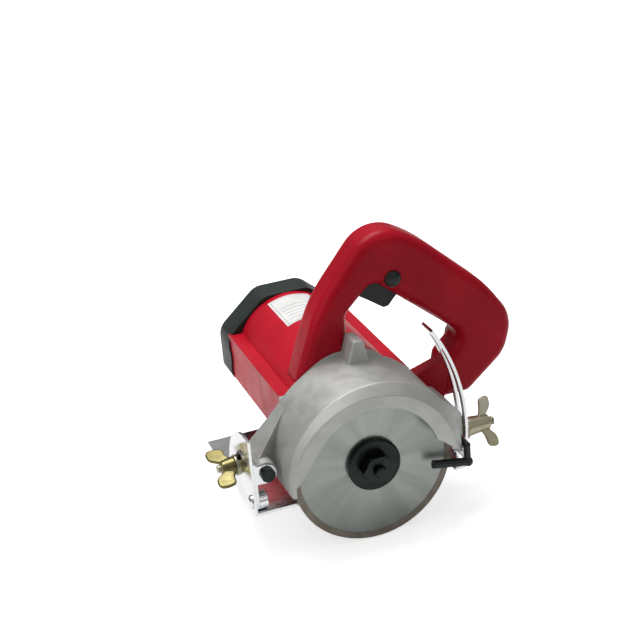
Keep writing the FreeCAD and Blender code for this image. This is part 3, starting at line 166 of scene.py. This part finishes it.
def plastic(name, colour, rough, grain=900, grain_height=0.03, gleam=0.35):
    """Moulded plastic: fine spark-eroded grain, faint mottling, smudges and rubbed edges."""
    shader = Shader(name)
    soft, edge = shader.edges(0.6 * MM)
    mottle = shader.noise(22, 5)
    smudge = shader.noise(60, 6, 0.65)
    dark, pale = ([c * k for c in colour] for k in (0.88, 1.1))
    worn = [min(1.0, c * 1.5 + 0.02) for c in colour]
    base = shader.mix(shader.span(mottle, 0.35, 0.65, 0, 1), dark, pale)
    patch = shader.span(shader.noise(140, 5), 0.4, 0.7, 0.2, 0.5)
    base = shader.mix(shader.maths("MULTIPLY", edge, patch), base, worn)
    specks = shader.span(shader.noise(1500, 2), 0.64, 0.76, 0, 0.05)
    base = shader.mix(specks, base, [min(1, c + 0.1) for c in colour])
    gloss = shader.maths("ADD", shader.span(smudge, 0.3, 0.7, rough - 0.06, rough + 0.08),
                         shader.maths("MULTIPLY", edge, 0.05))
    fine = shader.noise(grain * 2.2, 3, 0.6)
    return shader.finish(Base_Color=base, Roughness=gloss, Specular_IOR_Level=gleam,
                         Normal=shader.bump(fine, grain_height * MM, soft, 0.6))


def bare_metal(name, colour, rough, grain, grain_height, wear=0.5, tint=None, spots=0.0):
    """Metal with cloudy tone, fine grain, brighter edges and a little grime."""
    shader = Shader(name)
    soft, edge = shader.edges(0.4 * MM)
    cloud = shader.noise(35, 6, 0.6)
    dark = [c * 0.84 for c in colour]
    pale = tint or [min(1, c * 1.08) for c in colour]
    base = shader.mix(shader.span(cloud, 0.3, 0.7, 0, 1), dark, pale)
    bright = [min(1.0, c * 1.35 + 0.04) for c in colour]
    base = shader.mix(shader.maths("MULTIPLY", edge, wear), base, bright)
    grime = shader.maths("MULTIPLY", shader.span(shader.noise(420, 5, 0.7), 0.6, 0.78, 0, 1), spots)
    base = shader.mix(grime, base, [c * 0.45 for c in colour])
    gloss = shader.span(shader.noise(90, 5, 0.6), 0.3, 0.7, rough - 0.08, rough + 0.1)
    return shader.finish(Base_Color=base, Metallic=1.0, Roughness=gloss,
                         Normal=shader.bump(shader.noise(grain * 2, 4, 0.6),
                                            grain_height * MM, soft, 0.7))


def cast_aluminium():
    """Die-cast and tumbled: a pebbled satin skin with faint flow marks and rubbed edges."""
    shader = Shader("cast_aluminium")
    soft, edge = shader.edges(1.4 * MM)
    cloud = shader.noise(55, 7, 0.65)
    flow = shader.noise(1, 6, 0.6, shader.stretched(90, 25, 90))
    base = shader.mix(shader.span(cloud, 0.25, 0.75, 0, 1), (0.42, 0.43, 0.41), (0.5, 0.51, 0.49))
    base = shader.mix(shader.span(flow, 0.6, 0.85, 0, 0.25), base, (0.34, 0.35, 0.335))
    base = shader.mix(shader.maths("MULTIPLY", edge, 0.22), base, (0.62, 0.63, 0.61))
    pits = shader.span(shader.noise(900, 3, 0.7), 0.66, 0.74, 0, 1)
    base = shader.mix(shader.maths("MULTIPLY", pits, 0.35), base, (0.2, 0.2, 0.19))
    gloss = shader.span(shader.noise(120, 5), 0.3, 0.7, 0.46, 0.6)
    pebble = shader.maths("ADD", shader.noise(1700, 3, 0.6),
                          shader.maths("MULTIPLY", shader.noise(420, 4), 0.6))
    return shader.finish(Base_Color=base, Metallic=0.72, Roughness=gloss,
                         Normal=shader.bump(pebble, 0.06 * MM, soft, 0.7))


def blade_face():
    """Ground steel: fine rings about the spindle, a fanned sheen painted into the colour as lighter
    and darker sectors, and slurry haze near the rim.
    """
    shader = Shader("blade_steel")
    soft, edge = shader.edges(0.3 * MM)
    rings = shader.noise(1, 4, 0.6, shader.round_the_axis((0, 0), 2600, 1.2))
    painted_fan_sheen = shader.noise(1, 3, 0.55, shader.round_the_axis((0, 0), 6, 2.2))
    haze = shader.noise(150, 6, 0.7)
    # painted highlight: the colour brightens in fanned sectors round the spindle, standing in for
    # the steel's sheen
    base = shader.mix(shader.span(painted_fan_sheen, 0.3, 0.7, 0, 1), (0.3, 0.325, 0.3), (0.41, 0.43, 0.405))
    base = shader.mix(shader.maths("MULTIPLY", rings, 0.3), base, (0.26, 0.28, 0.26))
    base = shader.mix(shader.span(haze, 0.5, 0.75, 0, 0.3), base, (0.3, 0.31, 0.29))
    base = shader.mix(shader.maths("MULTIPLY", edge, 0.5), base, (0.75, 0.76, 0.74))
    gloss = shader.span(rings, 0.3, 0.7, 0.32, 0.44)
    tangent = shader.add("ShaderNodeTangent", {"direction_type": "RADIAL", "axis": "Y"})
    return shader.finish(Base_Color=base, Metallic=0.95, Roughness=gloss, Anisotropic=0.6,
                         Tangent=tangent.outputs[0],
                         Normal=shader.bump(rings, 0.015 * MM, soft, 0.5))


def sintered_rim():
    """Diamond grit in a sintered bond: rough, brownish and speckled."""
    shader = Shader("sintered_rim")
    grit = shader.noise(1900, 3, 0.7)
    base = shader.mix(shader.span(shader.noise(60, 5), 0.3, 0.7, 0, 1), (0.2, 0.175, 0.14),
                      (0.3, 0.27, 0.23))
    base = shader.mix(shader.span(grit, 0.58, 0.7, 0, 0.7), base, (0.42, 0.4, 0.36))
    return shader.finish(Base_Color=base, Metallic=0.7,
                         Roughness=shader.span(grit, 0.3, 0.7, 0.5, 0.75),
                         Normal=shader.bump(grit, 0.12 * MM, None, 0.8))


def bright_plate():
    """Chromed sheet: mirror-like, with a faint ripple, hairline scratches and dull patches."""
    shader = Shader("bright_plate")
    soft, edge = shader.edges(0.35 * MM)
    scratch = shader.noise(1, 3, 0.7, shader.stretched(40, 1600, 900))
    haze = shader.noise(45, 6, 0.65)
    gloss = shader.maths("ADD", shader.span(haze, 0.4, 0.75, 0.14, 0.3),
                         shader.span(scratch, 0.62, 0.72, 0, 0.15))
    base = shader.mix(shader.span(haze, 0.3, 0.7, 0, 1), (0.74, 0.75, 0.76), (0.86, 0.87, 0.88))
    base = shader.mix(shader.span(shader.noise(260, 5, 0.7), 0.66, 0.8, 0, 0.35), base,
                      (0.4, 0.39, 0.36))
    ripple = shader.maths("ADD", shader.noise(30, 2), shader.maths("MULTIPLY", scratch, 0.05))
    return shader.finish(Base_Color=base, Metallic=1.0, Roughness=gloss,
                         Normal=shader.bump(ripple, 0.12 * MM, soft, 0.5))


def windings():
    """Varnished copper wire laid side by side."""
    shader = Shader("windings")
    wires = shader.noise(1, 2, 0.5, shader.round_the_axis((0, 0.024), 1500, 3))
    base = shader.mix(wires, (0.32, 0.1, 0.03), (0.62, 0.27, 0.11))
    return shader.finish(Base_Color=base, Metallic=0.8, Roughness=0.35,
                         Normal=shader.bump(wires, 0.2 * MM, None, 0.8))


def laminations():
    """Stacked sheets: fine lines across the axis."""
    shader = Shader("laminations")
    lines = shader.noise(1, 2, 0.5, shader.stretched(5, 2200, 5))
    base = shader.mix(lines, (0.16, 0.17, 0.18), (0.34, 0.35, 0.36))
    return shader.finish(Base_Color=base, Metallic=1.0, Roughness=0.42,
                         Normal=shader.bump(lines, 0.06 * MM, None, 0.6))


def rating_foil():
    """White foil: a hairline border and plain grey rules for the fields, and no lettering."""
    shader = Shader("rating_foil")
    x, y, _ = shader.add("ShaderNodeSeparateXYZ", Vector=shader.place).outputs
    stain = shader.noise(70, 5)
    base = shader.mix(shader.span(stain, 0.35, 0.7, 0, 1), (0.66, 0.66, 0.65), (0.76, 0.76, 0.75))
    middle_x, middle_y, border, rule = -0.001, 0.124, 0.00018, 0.0003
    inside_x = shader.maths("COMPARE", x, middle_x, 0.0139)
    inside_y = shader.maths("COMPARE", y, middle_y, 0.0204)
    ruled = shader.maths("COMPARE", x, middle_x, 0.0115)
    lines = [shader.maths("MULTIPLY", inside_y, shader.maths("COMPARE", x, at, border))
             for at in (-0.0149, 0.0129)]
    lines += [shader.maths("MULTIPLY", inside_x, shader.maths("COMPARE", y, at, border))
              for at in (0.1036, 0.1444)]
    lines += [shader.maths("MULTIPLY", ruled, shader.maths("COMPARE", y, at, rule))
              for at in (0.109, 0.114, 0.119, 0.124, 0.129)]
    printed = lines[0]
    for line in lines[1:]:
        printed = shader.maths("MAXIMUM", printed, line)
    base = shader.mix(shader.maths("MULTIPLY", printed, 0.75), base, (0.16, 0.16, 0.17))
    return shader.finish(Base_Color=base, Roughness=shader.span(stain, 0.3, 0.7, 0.28, 0.42),
                         Normal=shader.bump(shader.noise(900, 2), 0.01 * MM, None, 0.5))


def rubber(name):
    """Black cord rubber with a pale bloom in patches."""
    shader = Shader(name)
    bloom = shader.span(shader.noise(80, 6, 0.65), 0.4, 0.75, 0, 0.5)
    base = shader.mix(bloom, (0.012, 0.012, 0.012), (0.045, 0.045, 0.043))
    gloss = shader.span(shader.noise(150, 4), 0.3, 0.7, 0.5, 0.7)
    return shader.finish(Base_Color=base, Roughness=gloss,
                         Normal=shader.bump(shader.noise(1700, 2), 0.04 * MM, None, 0.6))


FINISHES = {
    "crimson_plastic": plastic("crimson_plastic", (0.34, 0.003, 0.013), 0.31, 800, 0.02,
                               gleam=0.12),
    "red_plastic": plastic("red_plastic", (0.43, 0.005, 0.018), 0.34, 800, 0.025, gleam=0.16),
    "dark_plastic": plastic("dark_plastic", (0.019, 0.026, 0.023), 0.42, 600, 0.05, gleam=0.22),
    "black_plastic": plastic("black_plastic", (0.008, 0.011, 0.01), 0.36, 900, 0.03),
    "cast_aluminium": cast_aluminium(),
    "blade_steel": blade_face(),
    "black_oxide": bare_metal("black_oxide", (0.028, 0.034, 0.031), 0.36, 500, 0.03, wear=0.25),
    "sintered_rim": sintered_rim(),
    "machined_steel": bare_metal("machined_steel", (0.5, 0.5, 0.49), 0.3, 300, 0.02),
    "zinc_plate": bare_metal("zinc_plate", (0.42, 0.38, 0.24), 0.34, 500, 0.04, spots=0.5,
                             tint=(0.5, 0.48, 0.38)),
    "olive_zinc": bare_metal("olive_zinc", (0.14, 0.12, 0.045), 0.28, 500, 0.04, spots=0.6,
                             tint=(0.23, 0.2, 0.09)),
    "screw_steel": bare_metal("screw_steel", (0.36, 0.36, 0.36), 0.34, 500, 0.03),
    "chrome_plate": bright_plate(),
    "lamination_steel": laminations(),
    "copper": windings(),
    "carbon": plastic("carbon", (0.02, 0.02, 0.02), 0.6, 1200, 0.05),
    "spring_steel": bare_metal("spring_steel", (0.45, 0.45, 0.44), 0.3, 500, 0.02),
    "white_plastic": plastic("white_plastic", (0.7, 0.7, 0.67), 0.4),
    "plate_foil": rating_foil(),
    "cord_rubber": rubber("cord_rubber"),
}
slots = {entry["node"]: entry["material_slot"] for entry in frame["record"]["subparts"]}
for node_name, slot_name in slots.items():
    shown = nodes[node_name]
    shown.data.materials.clear()
    shown.data.materials.append(FINISHES[slot_name])


# ---------------------------------------------------------------- detailed pieces
def new_piece(name, finish, body, stands_for, verts, faces):
    """A mesh piece in millimetres that rides on a body and stands for one CAD node."""
    mesh = bpy.data.meshes.new(name)
    mesh.from_pydata([Vector(spot) * MM for spot in verts], [], faces)
    mesh.materials.append(FINISHES[finish])
    mesh.update()
    mesh.shade_smooth()
    piece = bpy.data.objects.new(name, mesh)
    bpy.context.scene.collection.objects.link(piece)
    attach(piece, body)
    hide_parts(stands_for)
    return piece


def ring_mesh(rings, closed):
    """Faces over rings of equal length: capped at both ends, or joined last to first."""
    count, around = len(rings), len(rings[0])
    verts = [spot for loop in rings for spot in loop]
    faces = []
    for row in range(count if closed else count - 1):
        after = (row + 1) % count
        for step in range(around):
            following = (step + 1) % around
            faces.append((row * around + step, row * around + following,
                          after * around + following, after * around + step))
    if not closed:
        faces.append(tuple(reversed(range(around))))
        faces.append(tuple(range((count - 1) * around, count * around)))
    return verts, faces


def along_x(profile, centre, thread=None, around=48, closed=False):
    """Turns (position, radius) corners about a line along X; a thread is (from, to, pitch)."""
    rows = []
    for (start, first), (end, last) in zip(profile, profile[1:]):
        steps = 1
        if thread and abs(first - last) < 0.01 and abs(end - start) > 1:
            steps = max(1, round(abs(end - start) / thread[2] * 8))
        rows += [(start + (end - start) * step / steps, first + (last - first) * step / steps)
                 for step in range(steps)]
    rows.append(profile[-1])
    rings = []
    for position, radius in rows:
        loop = []
        for step in range(around):
            angle = 2 * math.pi * step / around
            reach = radius
            if thread and thread[0] < position < thread[1]:
                turn = (position / thread[2] - step / around) % 1.0
                depth = min(1.0, position - thread[0], thread[1] - position)
                reach -= 0.6 * thread[2] * depth * (1 - abs(2 * turn - 1))
            loop.append((position, centre[0] + reach * math.cos(angle),
                         centre[1] + reach * math.sin(angle)))
        rings.append(loop)
    return ring_mesh(rings, closed)


def make_depth_lock_bolt():
    """The stud that the depth nut runs on, with its thread cut along the free length."""
    profile = [(58.6, 2.2), (59.2, 3), (91.7, 3), (92.5, 2.3)]
    verts, faces = along_x(profile, DEPTH_STUD, (67.4, 92.2, 1.0))
    new_piece("depth_lock_stud", "zinc_plate", "casing", "depth_lock_bolt", verts, faces)


def make_bevel_bolt():
    """A round-headed bolt with its thread outside the quadrant."""
    profile = [(-93.5, 2.3), (-92.7, 3), (-76.1, 3), (-76.1, 5.2), (-74.2, 5.2), (-73.4, 4.7),
               (-72.9, 3.6), (-72.8, 0.4)]
    verts, faces = along_x(profile, BEVEL_BOLT, (-93.1, -80.2, 1.0))
    new_piece("bevel_lock_bolt", "zinc_plate", "depth_frame", "bevel_bolt", verts, faces)


def pillow(outline, thick, edge):
    """A slab in the X-Y plane over a closed outline, with rounded edges."""
    middle = [sum(spot[axis] for spot in outline) / len(outline) for axis in (0, 1)]
    span = max(math.dist(spot, middle) for spot in outline)
    rings = []
    for step in range(9):
        swing = math.pi * (step / 8 - 0.5)
        scale = 1 - edge / span * (1 - math.cos(swing))
        rings.append([(middle[0] + (x - middle[0]) * scale, middle[1] + (y - middle[1]) * scale,
                       thick / 2 * math.sin(swing)) for x, y in outline])
    return ring_mesh(rings, False)


def smooth_loop(corners, steps=8):
    """A closed curve that runs softly past its corners."""
    loop = []
    count = len(corners)
    for index in range(count):
        before, here, after = (Vector(corners[(index + shift) % count]) for shift in (-1, 0, 1))
        start, end = (before + here) / 2, (here + after) / 2
        for step in range(steps):
            share = step / steps
            loop.append(tuple(start.lerp(here, share).lerp(here.lerp(end, share), share)))
    return loop


def wing_nut(name, finish, body, stands_for, contact, way, centre, lean, hub, height, lobe):
    """A cast wing nut: a tapered hub and two lobes grown together with soft roots.

    The lobes lie along Y and are then turned by lean degrees about the bolt.
    """
    shell = [(0, hub), (2, hub), (height, hub - 1.4), (height + 0.6, hub - 2),
             (height + 0.6, BORE_RADIUS), (0, BORE_RADIUS)]
    shell = [(start + (end - start) * step / 6, first + (last - first) * step / 6)
             for (start, first), (end, last) in zip(shell, shell[1:] + shell[:1])
             for step in range(6)]
    verts, faces = along_x(shell, (0, 0), closed=True)
    for side in (1, -1):
        extra, more = pillow(smooth_loop([(x, side * y) for x, y in lobe]), LOBE_THICK, 1.3)
        faces += [tuple(index + len(verts) for index in face) for face in more]
        verts += extra
    turn = math.radians(lean)
    placed = [(contact + way * x, centre[0] + y * math.cos(turn) - z * math.sin(turn),
               centre[1] + y * math.sin(turn) + z * math.cos(turn)) for x, y, z in verts]
    piece = new_piece(name, finish, body, stands_for, placed, faces)
    grown = piece.modifiers.new("grown", "REMESH")
    grown.mode = "VOXEL"
    grown.voxel_size = NUT_VOXEL
    grown.use_smooth_shade = True
    relaxed = piece.modifiers.new("relaxed", "SMOOTH")
    relaxed.factor = 0.5
    relaxed.iterations = 5


def make_bevel_wing_nut():
    """The olive nut that clamps the quadrant, with its lobes standing out past the bolt."""
    lobe = [(1.5, 4.4), (1.6, 7.5), (3.2, 11), (3, 16.6), (9, 18.6), (15.4, 17.6), (15.6, 9.4),
            (10.8, 6), (8, 4.2)]
    wing_nut("bevel_nut_cast", "olive_zinc", "bevel_nut", "bevel_wing_nut", -81.5, -1,
             BEVEL_BOLT, 15, 6.2, 8.6, lobe)


def make_depth_wing_nut():
    """The long pale nut that clamps the guide strip, with its lobes near the outer end."""
    lobe = [(9.5, 4.6), (11, 7), (12, 10.4), (12.6, 15.6), (16, 17.6), (20.6, 17), (20.4, 10.4),
            (17.8, 7), (15.5, 4.6)]
    wing_nut("depth_nut_cast", "zinc_plate", "depth_nut", "depth_lock_wing_nut", 72.3, 1,
             DEPTH_STUD, 62, 6.6, 16, lobe)


def coil(radius, wire, low, high, turns, closed_turns=0.35):
    """A compression spring along +Z: a round wire wound up, with its end turns laid flat."""
    rings = []
    steps = int(turns * 28)
    for step in range(steps + 1):
        share = step / steps
        angle = 2 * math.pi * turns * share
        rise = min(max((share * turns - closed_turns) / (turns - 2 * closed_turns), 0), 1)
        out = Vector((math.cos(angle), math.sin(angle), 0))
        centre = out * radius + Vector((0, 0, low + (high - low) * rise))
        rings.append([tuple(centre + wire * (out * math.cos(way) + Vector((0, 0, math.sin(way)))))
                      for way in (2 * math.pi * side / 10 for side in range(10))])
    return ring_mesh(rings, False)


def make_trigger_spring():
    """The spring over the trigger (the trigger squeezes it from below as it rises), built here at
    one fixed length.
    """
    verts, faces = coil(2.6, 0.4, 103.7, 107.4, 3)
    verts = [(TRIGGER_SPRING[0] + x, TRIGGER_SPRING[1] + y, z) for x, y, z in verts]
    spring = new_piece("trigger_coil", "spring_steel", "casing", "trigger_spring", verts, faces)
    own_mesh(spring)


def make_lock_button_spring():
    """The short spring behind the lock button (the button squeezes it from the front), built here
    at one fixed length.
    """
    verts, faces = coil(3.6, 0.3, 43, 44.8, 2)
    verts = [(BUTTON_SPRING[0] + x, z, BUTTON_SPRING[1] - y) for x, y, z in verts]
    spring = new_piece("button_coil", "spring_steel", "casing", "lock_button_spring", verts, faces)
    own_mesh(spring)


for make in (make_depth_lock_bolt, make_bevel_bolt, make_bevel_wing_nut, make_depth_wing_nut,
             make_trigger_spring, make_lock_button_spring):
    make()


# ---------------------------------------------------------------- floor, light and camera
def make_stage():
    """A pale floor that reads as white paper to the camera, with the saw's shadows kept."""
    ground = bpy.data.materials.new("pale_floor")
    ground.use_nodes = True
    tree = ground.node_tree
    shader = tree.nodes["Principled BSDF"]
    shader.inputs["Base Color"].default_value = (0.86, 0.86, 0.86, 1)
    shader.inputs["Roughness"].default_value = 0.8
    shader.inputs["Emission Color"].default_value = (1, 1, 1, 1)
    path = tree.nodes.new("ShaderNodeLightPath")
    lift = tree.nodes.new("ShaderNodeMath")
    lift.operation = "MULTIPLY"
    lift.inputs[1].default_value = 0.6
    tree.links.new(path.outputs["Is Camera Ray"], lift.inputs[0])
    tree.links.new(lift.outputs[0], shader.inputs["Emission Strength"])
    mesh = bpy.data.meshes.new("floor")
    reach, level = 6.0, cad_low.z - 0.0005
    mesh.from_pydata([(-reach, -reach, level), (reach, -reach, level), (reach, reach, level),
                      (-reach, reach, level)], [], [(0, 1, 2, 3)])
    mesh.materials.append(ground)
    floor = bpy.data.objects.new("floor", mesh)
    bpy.context.scene.collection.objects.link(floor)


def soft_light(name, place, aim, width, height, power):
    """A white rectangle of light turned towards aim."""
    lamp = bpy.data.lights.new(name, "AREA")
    lamp.shape = "RECTANGLE"
    lamp.size, lamp.size_y = width, height
    lamp.energy = power
    holder = bpy.data.objects.new(name, lamp)
    holder.location = place
    holder.rotation_mode = "QUATERNION"
    holder.rotation_quaternion = (Vector(aim) - Vector(place)).to_track_quat("-Z", "Y")
    bpy.context.scene.collection.objects.link(holder)


def make_lights():
    """One large soft light overhead, two weak fills, and a dome that is white to the camera."""
    aim = (0, 0.05, 0.03)
    soft_light("overhead", (-0.1, 0.35, 1.3), aim, 1.1, 0.7, 17)
    soft_light("left_fill", (-1.2, -0.2, 0.6), aim, 0.7, 0.9, 2.6)
    soft_light("front_fill", (0.5, -1.3, 0.7), aim, 1.0, 0.8, 1.2)
    world = bpy.data.worlds.new("studio")
    world.use_nodes = True
    tree = world.node_tree
    sky = tree.nodes["Background"]
    place = tree.nodes.new("ShaderNodeTexCoord")
    parts = tree.nodes.new("ShaderNodeSeparateXYZ")
    dome = tree.nodes.new("ShaderNodeMapRange")
    for socket, value in zip(list(dome.inputs)[1:5], (-0.05, 0.8, 0.08, 0.5)):
        socket.default_value = value
    tree.links.new(place.outputs["Generated"], parts.inputs[0])
    tree.links.new(parts.outputs["Z"], dome.inputs[0])
    path = tree.nodes.new("ShaderNodeLightPath")
    seen = tree.nodes.new("ShaderNodeMath")
    seen.operation = "MAXIMUM"
    tree.links.new(dome.outputs[0], seen.inputs[0])
    tree.links.new(path.outputs["Is Camera Ray"], seen.inputs[1])
    tree.links.new(seen.outputs[0], sky.inputs["Strength"])
    sky.inputs["Color"].default_value = (1, 1, 1, 1)
    bpy.context.scene.world = world


def make_camera():
    """Above and to the left of the blade, leaning a little, with a long lens."""
    data = bpy.data.cameras.new("camera")
    data.sensor_width = 36
    data.lens = 85.96
    data.clip_start, data.clip_end = 0.05, 50
    camera = bpy.data.objects.new("camera", data)
    place, aim, lean = Vector((-0.2891, -0.7932, 0.4799)), Vector((-0.02, 0.034, 0.0978)), -5.4
    camera.location = place
    look = (aim - place).to_track_quat("-Z", "Y").to_matrix()
    camera.rotation_mode = "QUATERNION"
    look = look @ Matrix.Rotation(math.radians(lean), 3, "Z")
    camera.rotation_quaternion = look.to_quaternion()
    bpy.context.scene.collection.objects.link(camera)
    bpy.context.scene.camera = camera


make_stage()
make_lights()
make_camera()
bpy.context.scene.view_settings.view_transform = "Standard"
bpy.context.view_layer.update()
